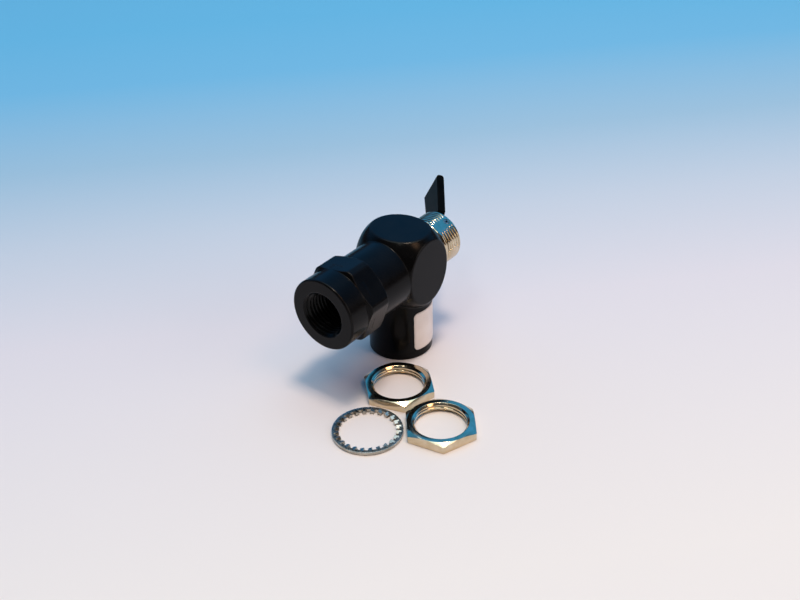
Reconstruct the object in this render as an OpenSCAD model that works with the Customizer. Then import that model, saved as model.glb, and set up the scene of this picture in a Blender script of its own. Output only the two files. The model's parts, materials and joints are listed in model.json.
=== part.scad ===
// Panel-mounted pneumatic toggle valve with its two panel nuts and lock washer.
// Origin: centre of the outlet port's face, on the surface that the valve stands on.
// +Z up, +X along the valve axis towards the toggle, inlet port at -X.

/* [Body] */
// Diameter of the turned ball in the middle of the body, across the valve axis
ball_d = 22; // [20:0.1:25]
// Outlet axis to the ball's centre, towards the bushing
ball_x = 0.65; // [0:0.05:1.2]
// Valve axis to the flat on top of the ball
top_flat_h = 8.6; // [8.2:0.1:9.6]
// Valve axis to each flat on the sides of the ball
side_flat_h = 7.9; // [7.4:0.1:9.4]
// Outlet axis to the face that the bushing seats on
rear_face_x = 8.2; // [7.6:0.1:9]
// Diameter of the face that the bushing seats on
rear_face_d = 12.7; // [11.5:0.1:15]
// Diameter of the barrel between the ball and the end cap
barrel_d = 15.7; // [14.5:0.1:17.5]
// Outlet axis to the end face of the barrel
barrel_l = 14.3; // [13:0.1:18]
// Outlet face to the valve axis
axis_h = 21.3; // [20:0.1:26]
// Diameter of the outlet boss
boss_d = 14.4; // [13.5:0.1:17]
// Diameter of the gallery that joins the seat to the outlet
gallery_d = 6.4; // [5.6:0.1:7.5]
// Diameter of the passage from the gallery down to the outlet port
passage_d = 4.4; // [3:0.1:5]

/* [Ports] */
// Diameter of the tapped bore in both ports, at the thread crests
port_d = 8.75; // [8:0.05:9.5]
// Diameter of the bevel at each port's mouth
port_mouth_d = 10.5; // [10:0.1:11.5]
// Depth of the outlet port
outlet_depth = 8.5; // [7:0.1:10]
// Depth of the inlet port
inlet_depth = 6.5; // [5.5:0.1:9]

/* [End cap] */
// Width across the flats of the end cap's hexagon
cap_hex_af = 16.2; // [15.2:0.1:18]
// Diameter that the hexagon's corners are turned to
cap_hex_turned_d = 18; // [17:0.1:20]
// Length of the hexagon
cap_hex_l = 6.3; // [5:0.1:9]
// Turn of the hexagon about the valve axis
cap_hex_turn = 20; // [0:1:59]
// Diameter of the round nose
cap_nose_d = 16.3; // [14:0.1:17]
// Length of the round nose
cap_nose_l = 5.2; // [4:0.1:9]
// Bevel on the rim of the round nose
cap_nose_bevel = 0.4; // [0.1:0.05:0.8]
// Diameter of the shank that screws into the barrel
cap_shank_d = 12; // [11.6:0.1:13]
// Length of the shank
cap_shank_l = 4.8; // [4:0.1:5.6]
// Diameter of the spring chamber
chamber_d = 8.4; // [8:0.1:9]
// Thickness of the web between the chamber and the port
web_t = 1; // [0.8:0.1:2]
// Diameter of the hole through the web
web_hole_d = 4; // [3:0.1:4.4]

/* [Bushing] */
// Outside diameter of the panel thread
thread_d = 11.9; // [11.5:0.1:13]
// Length of the threaded part that stands out of the body
thread_l = 7.1; // [6.8:0.1:12]
// Length of the plain neck between the body and the thread
relief_l = 1; // [0.6:0.1:1.6]
// Bevel at the free end of the thread
thread_bevel = 0.4; // [0.2:0.05:0.8]
// Diameter of the cavity that the lever turns in
cavity_d = 8.8; // [8.6:0.1:9.6]
// Depth of the cavity from the free end
cavity_l = 6.1; // [5.8:0.1:6.8]
// Diameter of the shank that screws into the body
bushing_shank_d = 10; // [9.4:0.1:10.6]
// Length of the shank
bushing_shank_l = 6.2; // [5.6:0.1:7]
// Free end of the bushing to the pivot pin
pin_inset = 1.2; // [1.1:0.1:1.8]

/* [Lever] */
// Angle from the valve axis to the lever at rest
lever_angle = 43; // [38:1:48]
// Angle from vertical to the pivot pin, seen along the valve axis
lever_clock = 28.5; // [0:0.5:60]
// Pivot to the paddle's end
lever_l = 15.9; // [12:0.1:20]
// Width of the paddle at its end
paddle_w = 8.2; // [6:0.1:10]
// Width of the paddle where it leaves the hub
paddle_root_w = 7.2; // [5:0.1:9]
// Thickness of the paddle
paddle_t = 1.8; // [1.5:0.1:2.6]
// Width of the lever's hub, along the pin
hub_w = 4; // [3.2:0.1:4.2]
// Radius of the hub where it just clears the plunger
cam_r = 1.9; // [1.7:0.05:2]
// Travel that the cam gives the plunger
cam_lift = 1.6; // [1.2:0.05:1.6]
// Diameter of the pivot pin
pin_d = 1.4; // [1.2:0.1:1.8]
// Wall of the rolled pivot pin
pin_wall = 0.4; // [0.3:0.05:0.5]

/* [Plunger and poppet] */
// Diameter of the plunger
plunger_d = 4; // [3.6:0.1:4.2]
// Length of the valve stem's collar against the plunger
collar_l = 1.2; // [0.8:0.1:1.6]
// Diameter of the valve stem
stem_d = 2.8; // [2.4:0.1:3.2]
// Diameter of the stud at the end of the valve stem
stud_d = 1.8; // [1.4:0.1:2]
// Thickness of the seat insert
seat_t = 2.5; // [2.2:0.1:3]
// Diameter of the hole through the seat insert
seat_hole_d = 4.8; // [4.2:0.1:5.2]
// Diameter of the poppet
poppet_d = 7.2; // [6.6:0.1:7.6]
// Thickness of the poppet's flange
poppet_t = 2; // [1.6:0.1:2.4]
// Thickness of the rubber disc on the poppet
disc_t = 0.9; // [0.6:0.1:1.2]
// Diameter of the boss that centres the spring
spring_boss_d = 3.4; // [3:0.1:3.8]
// Mean diameter of the return spring
spring_d = 4.8; // [4.6:0.1:5.4]
// Diameter of the spring wire
wire_d = 0.6; // [0.4:0.05:0.7]
// Turns of the return spring
spring_turns = 5; // [3:0.5:6]

/* [Seals] */
// Thickness of the sealing rings on the housing parts
ring_t = 1; // [0.8:0.05:1.1]
// Thickness of the sealing rings on the plunger
plunger_ring_t = 0.7; // [0.6:0.05:0.8]

/* [Panel hardware] */
// Width across the flats of a panel nut
nut_af = 14.3; // [14:0.1:16]
// Thickness of a panel nut
nut_t = 2.2; // [1.6:0.1:3]
// Depth of the panel thread, crest to root, measured on the radius
thread_depth = 0.4; // [0.3:0.05:0.5]
// Outside diameter of the lock washer
washer_d = 15; // [14.4:0.1:16]
// Thickness of the lock washer
washer_t = 0.7; // [0.5:0.05:1]
// Radial width of the lock washer's rim
washer_rim = 0.85; // [0.6:0.05:1]
// Number of teeth inside the lock washer
washer_teeth = 24; // [16:1:30]
// Twist of each tooth
tooth_twist = 18; // [5:1:30]
// Gap between the outlet boss and the inner nut's flat
nut_boss_gap = 3.8; // [2:0.1:8]
// Gap between the flats of the two nuts
nut_nut_gap = 1.8; // [1:0.1:4]
// Gap between the outer nut's flat and the washer
washer_nut_gap = 0.6; // [0.4:0.1:2]

/* [Label] */
// Height of the label
label_h = 9.8; // [6:0.1:10.4]
// Length of the label round the boss
label_l = 19; // [12:0.5:26]
// Thickness of the label
label_t = 0.12; // [0.08:0.02:0.2]
// Outlet face to the label's lower edge
label_z = 2.1; // [1:0.1:2.4]
// Direction of the label's first edge, seen from above
label_from = -117; // [-180:1:0]

/* [Fits] */
// Radial gap of a sliding or turning fit
run_gap = 0.05; // [0.02:0.01:0.08]
// Gap between pieces that only rest against each other
rest_gap = 0.02; // [0.01:0.005:0.04]
// Gap between the lever's cam and the plunger's tip
cam_gap = 0.05; // [0.02:0.01:0.1]

/* [Hidden] */
$fn = 96;

// The ball is turned with one round profile between two faces, of which one seats the bushing
ball_half = rear_face_x - ball_x;
ball_drop = (ball_d - rear_face_d) / 2;
ball_round = (pow(ball_half, 2) + pow(ball_drop, 2)) / (2 * ball_drop);

// Places along the valve axis, from the outlet axis
bushing_end = rear_face_x + thread_l;
cavity_end = bushing_end - cavity_l;
bushing_inner = rear_face_x - bushing_shank_l;
pivot_x = bushing_end - pin_inset;
plunger_tip = pivot_x - cam_r - cam_gap;
plunger_inner = bushing_inner - collar_l / 2;
cap_inner = -barrel_l + cap_shank_l;
seat_inner = cap_inner + seat_t;
hex_front = -barrel_l - cap_hex_l;
nose_front = hex_front - cap_nose_l;
port_end = nose_front + inlet_depth;
chamber_end = port_end + web_t;
disc_face = cap_inner - rest_gap;
poppet_face = disc_face - disc_t;
poppet_back = poppet_face - poppet_t;
spring_boss_l = poppet_t / 2;
stud_end = poppet_back;

// Sizes that follow from the fits
guide_d = plunger_d + 2 * run_gap;
bushing_socket_d = bushing_shank_d + 2 * rest_gap;
cap_socket_d = cap_shank_d + 2 * rest_gap;
port_bevel = (port_mouth_d - port_d) / 2;
groove_side = 0.1;
ring_groove_l = ring_t + 2 * groove_side;
plunger_groove_l = plunger_ring_t + 2 * groove_side;
land = 0.9;
bushing_ring_x = rear_face_x - land - ring_groove_l / 2;
cap_ring_x = -barrel_l + land + ring_groove_l / 2;
seat_ring_x = cap_inner + seat_t / 2;
guide_mid = (cavity_end + bushing_inner) / 2;
plunger_ring_step = (cavity_end - bushing_inner) / 6;
plunger_ring_outer_x = guide_mid + plunger_ring_step;
plunger_ring_inner_x = guide_mid;
tip_bevel = plunger_d / 8;
corner_turn = 30;
relief_d = thread_d - 3 * thread_depth;
nut_bore_d = thread_d - 2 * thread_depth;
nut_mouth_bevel = thread_depth + rest_gap;
overcut = 1;

// A solid of revolution on the valve axis, from [radius, distance along the axis] points
module turned(outline) {
    translate([0, 0, axis_h]) rotate([0, 90, 0]) rotate_extrude() polygon(outline);
}

// A round bar on the valve axis from x0 to x1
module bar(d, x0, x1) {
    translate([x0, 0, axis_h]) rotate([0, 90, 0]) cylinder(d = d, h = x1 - x0);
}

// A sealing ring on the valve axis, between the bore it seals and the groove below
module ring(bore_d, thick, x, gap) {
    translate([x, 0, axis_h]) rotate([0, 90, 0])
        rotate_extrude() translate([(bore_d - thick) / 2, 0]) circle(d = thick - 2 * gap, $fn = 32);
}

// The groove that a sealing ring sits in, cut from a bar of diameter d
module groove(d, thick, length, x) {
    difference() {
        bar(d + overcut, x - length / 2, x + length / 2);
        bar(d - 2 * thick, x - length / 2 - overcut, x + length / 2 + overcut);
    }
}

// The lever's own frame: origin on the pivot, +X along the lever, +Z along the pin
module at_lever() {
    translate([pivot_x, 0, axis_h]) rotate([lever_clock, 0, 0])
        rotate([0, 0, lever_angle]) children();
}

// One-piece body: ball with flats, barrel and outlet boss, drilled for the valve
module body() color("#15161a") difference() {
    union() {
        intersection() {
            translate([ball_x, 0, axis_h]) rotate([0, 90, 0]) rotate_extrude() intersection() {
                translate([ball_d / 2 - ball_round, 0]) circle(r = ball_round);
                translate([0, -ball_half]) square([ball_d / 2, 2 * ball_half]);
            }
            translate([-ball_d, -side_flat_h, axis_h - ball_d])
                cube([2 * ball_d, 2 * side_flat_h, ball_d + top_flat_h]);
        }
        bar(barrel_d, -barrel_l, 0);
        cylinder(d = boss_d, h = axis_h);
    }
    bar(gallery_d, seat_inner, bushing_inner);
    bar(bushing_socket_d, bushing_inner, rear_face_x + overcut);
    bar(cap_socket_d, -barrel_l - overcut, seat_inner);
    cylinder(d = passage_d, h = axis_h);
    translate([0, 0, -overcut]) cylinder(d = port_d, h = outlet_depth + overcut);
    translate([0, 0, -overcut])
        cylinder(d1 = port_mouth_d + 2 * overcut, d2 = port_d, h = port_bevel + overcut);
}

// Hexagon across the flats, turned to a diameter and bevelled at its far end or at both ends
module turned_hexagon(af, turned, length, both_ends) {
    drop = (turned - af) / 2 * tan(corner_turn);
    near_end = both_ends ? [[af / 2, 0], [turned / 2, drop]] : [[turned / 2, 0]];
    far_end = [[turned / 2, length - drop], [af / 2, length]];
    intersection() {
        cylinder(d = af / cos(30), h = length, $fn = 6);
        rotate_extrude() polygon(concat([[0, 0]], near_end, far_end, [[0, length]]));
    }
}

// End cap: shank, hexagon and round nose with the tapped inlet port
module end_cap() color("#15161a") difference() {
    union() {
        translate([hex_front, 0, axis_h]) rotate([0, 90, 0]) rotate([0, 0, cap_hex_turn])
            turned_hexagon(cap_hex_af, cap_hex_turned_d, cap_hex_l, true);
        turned([[0, nose_front], [cap_nose_d / 2 - cap_nose_bevel, nose_front],
                [cap_nose_d / 2, nose_front + cap_nose_bevel], [cap_nose_d / 2, hex_front],
                [cap_shank_d / 2, hex_front], [cap_shank_d / 2, cap_inner], [0, cap_inner]]);
    }
    bar(chamber_d, chamber_end, cap_inner + overcut);
    bar(web_hole_d, port_end - overcut, chamber_end + overcut);
    turned([[0, nose_front - overcut], [port_mouth_d / 2 + overcut, nose_front - overcut],
            [port_d / 2, nose_front + port_bevel], [port_d / 2, port_end], [0, port_end]]);
    groove(cap_shank_d, ring_t, ring_groove_l, cap_ring_x);
}

module end_cap_seal() color("#101010") ring(cap_socket_d, ring_t, cap_ring_x, rest_gap);

// Threaded bushing: panel thread outside, lever cavity and plunger guide inside
module bushing() color("silver") difference() {
    turned([[guide_d / 2, bushing_inner], [bushing_shank_d / 2, bushing_inner],
            [bushing_shank_d / 2, rear_face_x], [relief_d / 2, rear_face_x],
            [relief_d / 2, rear_face_x + relief_l], [thread_d / 2, rear_face_x + relief_l],
            [thread_d / 2, bushing_end - thread_bevel], [thread_d / 2 - thread_bevel, bushing_end],
            [cavity_d / 2, bushing_end], [cavity_d / 2, cavity_end], [guide_d / 2, cavity_end]]);
    at_lever() cylinder(d = pin_d + 2 * rest_gap, h = 2 * thread_d, center = true);
    groove(bushing_shank_d, ring_t, ring_groove_l, bushing_ring_x);
}

module bushing_seal() color("#101010") ring(bushing_socket_d, ring_t, bushing_ring_x, rest_gap);

// Rolled pin through the bushing and the lever's hub, with its slit
module pivot_pin() color("#8a8a88") at_lever() difference() {
    cylinder(d = pin_d, h = thread_d - 2 * thread_depth, center = true);
    cylinder(d = pin_d - 2 * pin_wall, h = thread_d, center = true);
    translate([0, -pin_wall / 4, -thread_d / 2]) cube([pin_d, pin_wall / 2, thread_d]);
}

// Cam outline: lifts a flat plunger in proportion to the lever's turn
cam_span = 2 * lever_angle;
cam_slope = cam_lift / (cam_span * PI / 180);
cam_steps = 18;
cam_start = 180 - lever_angle;
function cam_point(a, reach) = [reach * cos(a) - cam_slope * sin(a), reach * sin(a) + cam_slope * cos(a)];
cam_outline = [for (i = [0:cam_steps])
    cam_point(cam_start + cam_span * i / cam_steps, cam_r + cam_lift * i / cam_steps)];
cam_heel = 310;

// Toggle lever: cam hub on the pin, and a flat paddle that widens towards its end
neck_u = pin_inset / cos(lever_angle) + paddle_t;
flare_u = neck_u + (paddle_root_w - hub_w) / 2;
tip_round = paddle_t * 0.42;
module paddle_face() {
    polygon([[0, -hub_w / 2], [neck_u, -hub_w / 2], [flare_u, -paddle_root_w / 2],
             [lever_l, -paddle_w / 2], [lever_l, paddle_w / 2],
             [flare_u, paddle_root_w / 2], [neck_u, hub_w / 2], [0, hub_w / 2]]);
}
module paddle_edge() {
    union() {
        translate([0, -paddle_t / 2]) square([lever_l - tip_round, paddle_t]);
        translate([lever_l - tip_round, -paddle_t / 2 + tip_round]) circle(r = tip_round, $fn = 32);
        translate([lever_l - tip_round, paddle_t / 2 - tip_round]) circle(r = tip_round, $fn = 32);
        translate([lever_l - 2 * tip_round, -paddle_t / 2 + tip_round])
            square([2 * tip_round, paddle_t - 2 * tip_round]);
    }
}
module toggle_lever() color("#131418") at_lever() difference() {
    union() {
        intersection() {
            translate([0, 0, -paddle_w]) linear_extrude(2 * paddle_w) paddle_edge();
            rotate([90, 0, 0]) translate([0, 0, -paddle_t]) linear_extrude(2 * paddle_t) paddle_face();
        }
        translate([0, 0, -hub_w / 2]) linear_extrude(hub_w) union() {
            circle(r = cam_r);
            polygon(concat(cam_outline, [[cam_r * cos(cam_heel), cam_r * sin(cam_heel)], [0, 0]]));
        }
    }
    cylinder(d = pin_d + 2 * run_gap, h = 2 * paddle_w, center = true);
}

// Plunger in the bushing's guide, with its two ring grooves
module plunger() color("#b9b7b0") difference() {
    turned([[0, plunger_inner], [plunger_d / 2, plunger_inner], [plunger_d / 2, plunger_tip - tip_bevel],
            [plunger_d / 2 - tip_bevel, plunger_tip], [0, plunger_tip]]);
    for (x = [plunger_ring_outer_x, plunger_ring_inner_x])
        groove(plunger_d, plunger_ring_t - run_gap, plunger_groove_l, x);
}

module plunger_seal_outer() color("#101010") ring(guide_d, plunger_ring_t, plunger_ring_outer_x, run_gap);
module plunger_seal_inner() color("#101010") ring(guide_d, plunger_ring_t, plunger_ring_inner_x, run_gap);

// Valve stem: collar against the plunger, shaft through the seat and a stud for the poppet
module valve_stem() color("#b9b7b0")
    turned([[0, stud_end], [stud_d / 2, stud_end], [stud_d / 2, poppet_face], [stem_d / 2, poppet_face],
            [stem_d / 2, plunger_inner - collar_l], [plunger_d / 2, plunger_inner - collar_l],
            [plunger_d / 2, plunger_inner], [0, plunger_inner]]);

module poppet() color("#b8995a")
    turned([[0, poppet_back - spring_boss_l], [spring_boss_d / 2, poppet_back - spring_boss_l],
            [spring_boss_d / 2, poppet_back], [poppet_d / 2, poppet_back], [poppet_d / 2, poppet_face],
            [stud_d / 2, poppet_face], [stud_d / 2, stud_end], [0, stud_end]]);

module poppet_seal() color("#101010")
    turned([[stem_d / 2, poppet_face], [poppet_d / 2 - rest_gap, poppet_face],
            [poppet_d / 2 - rest_gap, disc_face], [stem_d / 2, disc_face]]);

// Seat insert: clamped between the barrel's shoulder and the end cap's shank
module seat_insert() color("#b8995a") difference() {
    bar(cap_shank_d, cap_inner, seat_inner);
    bar(seat_hole_d, cap_inner - overcut, seat_inner + overcut);
    groove(cap_shank_d, ring_t, ring_groove_l, seat_ring_x);
}

module seat_seal() color("#101010") ring(cap_socket_d, ring_t, seat_ring_x, rest_gap);

// Return spring: one unbroken wire from the web to the back of the poppet
coil_sides = 6;
coil_rings = 8 * spring_turns;
spring_from = chamber_end + wire_d / 2 + rest_gap;
spring_to = poppet_back - wire_d / 2 - rest_gap;
function coil_centre(a, t) = [spring_d / 2 * cos(a), spring_d / 2 * sin(a),
                              spring_from + (spring_to - spring_from) * t];
function coil_ring(t) = let (a = 360 * spring_turns * t, c = coil_centre(a, t))
    [for (k = [0:coil_sides - 1]) let (b = 360 * k / coil_sides)
        c + wire_d / 2 * [cos(a) * cos(b), sin(a) * cos(b), sin(b)]];
coil_points = [for (i = [0:coil_rings]) each coil_ring(i / coil_rings)];
function coil_at(i, k) = i * coil_sides + k % coil_sides;
coil_sleeve = [for (i = [0:coil_rings - 1], k = [0:coil_sides - 1]) each
    [[coil_at(i, k), coil_at(i + 1, k), coil_at(i + 1, k + 1)],
     [coil_at(i, k), coil_at(i + 1, k + 1), coil_at(i, k + 1)]]];
coil_first = [for (k = [1:coil_sides - 2]) [coil_at(0, 0), coil_at(0, k), coil_at(0, k + 1)]];
coil_last = [for (k = [1:coil_sides - 2])
    [coil_at(coil_rings, 0), coil_at(coil_rings, k + 1), coil_at(coil_rings, k)]];
echo(least_gap_between_coils = (spring_to - spring_from) / spring_turns - wire_d);
module return_spring() color("#c9c9c6")
    translate([0, 0, axis_h]) rotate([0, 90, 0])
        polyhedron(points = coil_points, faces = concat(coil_sleeve, coil_first, coil_last), convexity = 8);

// Panel nut: thin hexagon with a bevelled threaded hole, lying on the surface
module panel_nut() color("#cfcabc") difference() {
    turned_hexagon(nut_af, nut_af / cos(30) + 2 * rest_gap, nut_t, false);
    translate([0, 0, -overcut]) cylinder(d = nut_bore_d, h = nut_t + 2 * overcut);
    for (side = [0, 1]) translate([0, 0, side * nut_t]) mirror([0, 0, side])
        translate([0, 0, -overcut])
            cylinder(d1 = nut_bore_d + 2 * (nut_mouth_bevel + overcut), d2 = nut_bore_d,
                     h = nut_mouth_bevel + overcut);
}

// Loose hardware, on the surface in front of the valve: each piece is placed from its neighbour
function beside(from, angle, distance) = from + distance * [cos(angle), sin(angle)];
nut_inner_at = beside([0, 0], -143.5, boss_d / 2 + nut_boss_gap + nut_af / 2);
nut_outer_at = beside(nut_inner_at, -109.2, nut_af + nut_nut_gap);
washer_at = beside(nut_outer_at, 131, nut_af / 2 + washer_nut_gap + washer_d / 2);
nut_inner_turn = -13;
nut_outer_turn = -19.5;
echo(nut_inner_at = nut_inner_at, nut_outer_at = nut_outer_at, washer_at = washer_at);
module panel_nut_inner() translate(nut_inner_at) rotate([0, 0, nut_inner_turn]) panel_nut();
module panel_nut_outer() translate(nut_outer_at) rotate([0, 0, nut_outer_turn]) panel_nut();

// Lock washer: flat rim with a row of short twisted teeth inside
tooth_tip_r = thread_d / 2 + run_gap;
rim_inner_r = washer_d / 2 - washer_rim;
tooth_w = 0.52 * 2 * PI * tooth_tip_r / washer_teeth;
tooth_drop = tooth_w / 2 * sin(tooth_twist) - washer_t / 2 * (1 - cos(tooth_twist));
module lock_washer() color("#a9a9a4") translate([washer_at[0], washer_at[1], max(0, tooth_drop)]) {
    union() {
        difference() {
            cylinder(d = washer_d, h = washer_t);
            translate([0, 0, -overcut]) cylinder(r = rim_inner_r, h = washer_t + 2 * overcut);
        }
        for (i = [0:washer_teeth - 1]) rotate([0, 0, 360 * i / washer_teeth])
            translate([tooth_tip_r, 0, washer_t / 2]) rotate([tooth_twist, 0, 0])
                translate([0, -tooth_w / 2, -washer_t / 2])
                    cube([rim_inner_r - tooth_tip_r + washer_rim / 2, tooth_w, washer_t]);
    }
}

// Blank label, wrapped round the outlet boss
label_r = boss_d / 2 + rest_gap;
label_turn = label_l / label_r * 180 / PI;
module label() color("#e9e6e2") rotate([0, 0, label_from]) rotate_extrude(angle = label_turn)
    translate([label_r, label_z]) square([label_t, label_h]);

body();
end_cap();
end_cap_seal();
bushing();
bushing_seal();
pivot_pin();
toggle_lever();
plunger();
plunger_seal_outer();
plunger_seal_inner();
valve_stem();
poppet();
poppet_seal();
seat_insert();
seat_seal();
return_spring();
panel_nut_inner();
panel_nut_outer();
lock_washer();
label();
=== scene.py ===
# Panel-mounted pneumatic toggle valve: the looks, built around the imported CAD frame.
# Sizes are in millimetres and become metres where a mesh is written.
import json
import math
import bpy
import bmesh
import numpy as np
from mathutils import Matrix, Vector


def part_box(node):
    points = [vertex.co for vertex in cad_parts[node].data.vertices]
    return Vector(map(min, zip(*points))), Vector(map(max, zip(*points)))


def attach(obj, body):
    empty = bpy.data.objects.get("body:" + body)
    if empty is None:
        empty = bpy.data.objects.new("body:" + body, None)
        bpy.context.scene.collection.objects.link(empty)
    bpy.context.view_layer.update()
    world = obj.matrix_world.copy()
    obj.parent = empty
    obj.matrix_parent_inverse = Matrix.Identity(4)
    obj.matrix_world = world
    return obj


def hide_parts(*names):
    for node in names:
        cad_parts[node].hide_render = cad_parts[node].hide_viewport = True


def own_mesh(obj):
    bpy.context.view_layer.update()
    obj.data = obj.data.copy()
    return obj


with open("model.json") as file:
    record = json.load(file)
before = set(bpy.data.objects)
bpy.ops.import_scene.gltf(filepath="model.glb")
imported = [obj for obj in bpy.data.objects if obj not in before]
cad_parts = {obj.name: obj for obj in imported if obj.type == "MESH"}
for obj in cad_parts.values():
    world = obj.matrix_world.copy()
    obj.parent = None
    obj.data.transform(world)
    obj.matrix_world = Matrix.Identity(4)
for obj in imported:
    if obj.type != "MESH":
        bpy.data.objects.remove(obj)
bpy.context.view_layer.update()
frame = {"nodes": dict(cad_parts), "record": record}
mm = 0.001
scene = bpy.context.scene
scene.view_settings.view_transform = "Standard"

# Places that several pieces share
axisHeight = 21.3       # valve axis above the outlet face
pivotX = 14.1           # lever pivot along the valve axis
leverClock = 28.5       # turn of the pivot pin about the valve axis, degrees
leverAngle = 43         # lever from the valve axis at rest, degrees
alongValve = Matrix.Translation((0, 0, axisHeight)) @ Matrix.Rotation(math.radians(90), 4, "Y")
atLever = (Matrix.Translation((pivotX, 0, axisHeight))
           @ Matrix.Rotation(math.radians(leverClock), 4, "X")
           @ Matrix.Rotation(math.radians(leverAngle), 4, "Z"))
toMetres = Matrix.Diagonal((mm, mm, mm, 1))


def hexColour(code):
    parts = [int(code[i:i + 2], 16) / 255 for i in (1, 3, 5)]
    return [p / 12.92 if p <= 0.04045 else ((p + 0.055) / 1.055) ** 2.4 for p in parts] + [1]


def perSize(size):
    return 1 / (size * mm)  # texture scale for a feature of this many millimetres


def addNode(tree, kind, links=None, stops=(), **settings):
    node = tree.nodes.new(kind)
    for name, value in settings.items():
        setattr(node, name, value)
    for i, (position, colour) in enumerate(stops):
        ramp = node.color_ramp.elements
        stop = ramp[i] if i < 2 else ramp.new(position)
        stop.position, stop.color = position, hexColour(colour)
    for socket, source in (links or {}).items():
        if isinstance(source, bpy.types.NodeSocket):
            tree.links.new(source, node.inputs[socket])
        else:
            node.inputs[socket].default_value = source
    return node


# Materials: each starts from an empty tree and ends in one shader
def newSurface(name):
    material = bpy.data.materials.new(name)
    material.use_nodes = True
    tree = material.node_tree
    tree.nodes.clear()
    place = addNode(tree, "ShaderNodeTexCoord").outputs["Object"]
    return material, tree, place


def finishSurface(tree, links):
    shader = addNode(tree, "ShaderNodeBsdfPrincipled", links)
    addNode(tree, "ShaderNodeOutputMaterial", {"Surface": shader.outputs[0]})


def anodisedAluminium():
    # Turned aluminium, blasted, dyed black and sealed: a satin oxide with a faint grain,
    # a little greyer where handling has rubbed the edges.
    material, tree, place = newSurface("anodisedAluminiumBlack")
    cloud = addNode(tree, "ShaderNodeTexNoise", {"Vector": place, "Scale": perSize(5), "Detail": 3})
    # blast grit is about 0.05 mm, drawn at 0.16 mm so that it shows
    grit = addNode(tree, "ShaderNodeTexNoise", {"Vector": place, "Scale": perSize(0.16), "Detail": 2})
    stretch = addNode(tree, "ShaderNodeMapping", {"Vector": place, "Scale": (1, 0.06, 0.06)})
    # turning marks of 0.1 mm feed, drawn at 0.35 mm
    marks = addNode(tree, "ShaderNodeTexNoise", {"Vector": stretch.outputs[0], "Scale": perSize(0.35), "Detail": 1})
    edge = addNode(tree, "ShaderNodeAttribute", attribute_name="edge")
    dye = addNode(tree, "ShaderNodeValToRGB", {"Fac": cloud.outputs[0]},
                  [(0.35, "#060607"), (0.65, "#0b0b0c")])
    rub = addNode(tree, "ShaderNodeMath", {0: edge.outputs["Fac"], 1: cloud.outputs[0]}, operation="MULTIPLY")
    worn = addNode(tree, "ShaderNodeMix", {"Factor": rub.outputs[0], 6: dye.outputs[0], 7: hexColour("#1c1c1e")},
                   data_type="RGBA")
    gloss = addNode(tree, "ShaderNodeMapRange", {"Value": marks.outputs[0], "From Min": 0.3, "From Max": 0.7,
                                                  "To Min": 0.2, "To Max": 0.24})
    relief = addNode(tree, "ShaderNodeMix", {"Factor": 0.4, 2: grit.outputs[0], 3: marks.outputs[0]})
    bump = addNode(tree, "ShaderNodeBump", {"Height": relief.outputs[0], "Strength": 0.05, "Distance": 0.03 * mm})
    finishSurface(tree, {"Base Color": worn.outputs[2], "Roughness": gloss.outputs[0],
                         "Specular IOR Level": 0.11, "Normal": bump.outputs[0]})
    return material


def platedMetal(name, light, dark, smooth, rough, lineSize, stretchBy, depth):
    # One recipe for the turned, plated and drawn metals: a clear tone, slight clouding in the
    # plate, and tool lines along the stretched direction.
    material, tree, place = newSurface(name)
    cloud = addNode(tree, "ShaderNodeTexNoise", {"Vector": place, "Scale": perSize(2.2), "Detail": 4})
    stretch = addNode(tree, "ShaderNodeMapping", {"Vector": place, "Scale": stretchBy})
    lines = addNode(tree, "ShaderNodeTexNoise", {"Vector": stretch.outputs[0], "Scale": perSize(lineSize),
                                                 "Detail": 2})
    tone = addNode(tree, "ShaderNodeValToRGB", {"Fac": cloud.outputs[0]},
                   [(0.3, dark), (0.68, light)])
    gloss = addNode(tree, "ShaderNodeMapRange", {"Value": lines.outputs[0], "From Min": 0.3, "From Max": 0.7,
                                                  "To Min": smooth, "To Max": rough})
    bump = addNode(tree, "ShaderNodeBump", {"Height": lines.outputs[0], "Strength": depth, "Distance": 0.02 * mm})
    finishSurface(tree, {"Base Color": tone.outputs[0], "Metallic": 1, "Roughness": gloss.outputs[0],
                         "Normal": bump.outputs[0]})
    return material


def nitrileRubber():
    # Moulded nitrile: matt black with a faint bloom.
    material, tree, place = newSurface("nitrileRubberMoulded")
    bloom = addNode(tree, "ShaderNodeTexNoise", {"Vector": place, "Scale": perSize(1.2), "Detail": 4})
    tone = addNode(tree, "ShaderNodeValToRGB", {"Fac": bloom.outputs[0]},
                   [(0.4, "#0c0c0c"), (0.7, "#191918")])
    gloss = addNode(tree, "ShaderNodeMapRange", {"Value": bloom.outputs[0], "To Min": 0.5, "To Max": 0.72})
    bump = addNode(tree, "ShaderNodeBump", {"Height": bloom.outputs[0], "Strength": 0.1, "Distance": 0.05 * mm})
    finishSurface(tree, {"Base Color": tone.outputs[0], "Roughness": gloss.outputs[0], "Normal": bump.outputs[0]})
    return material


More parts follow.
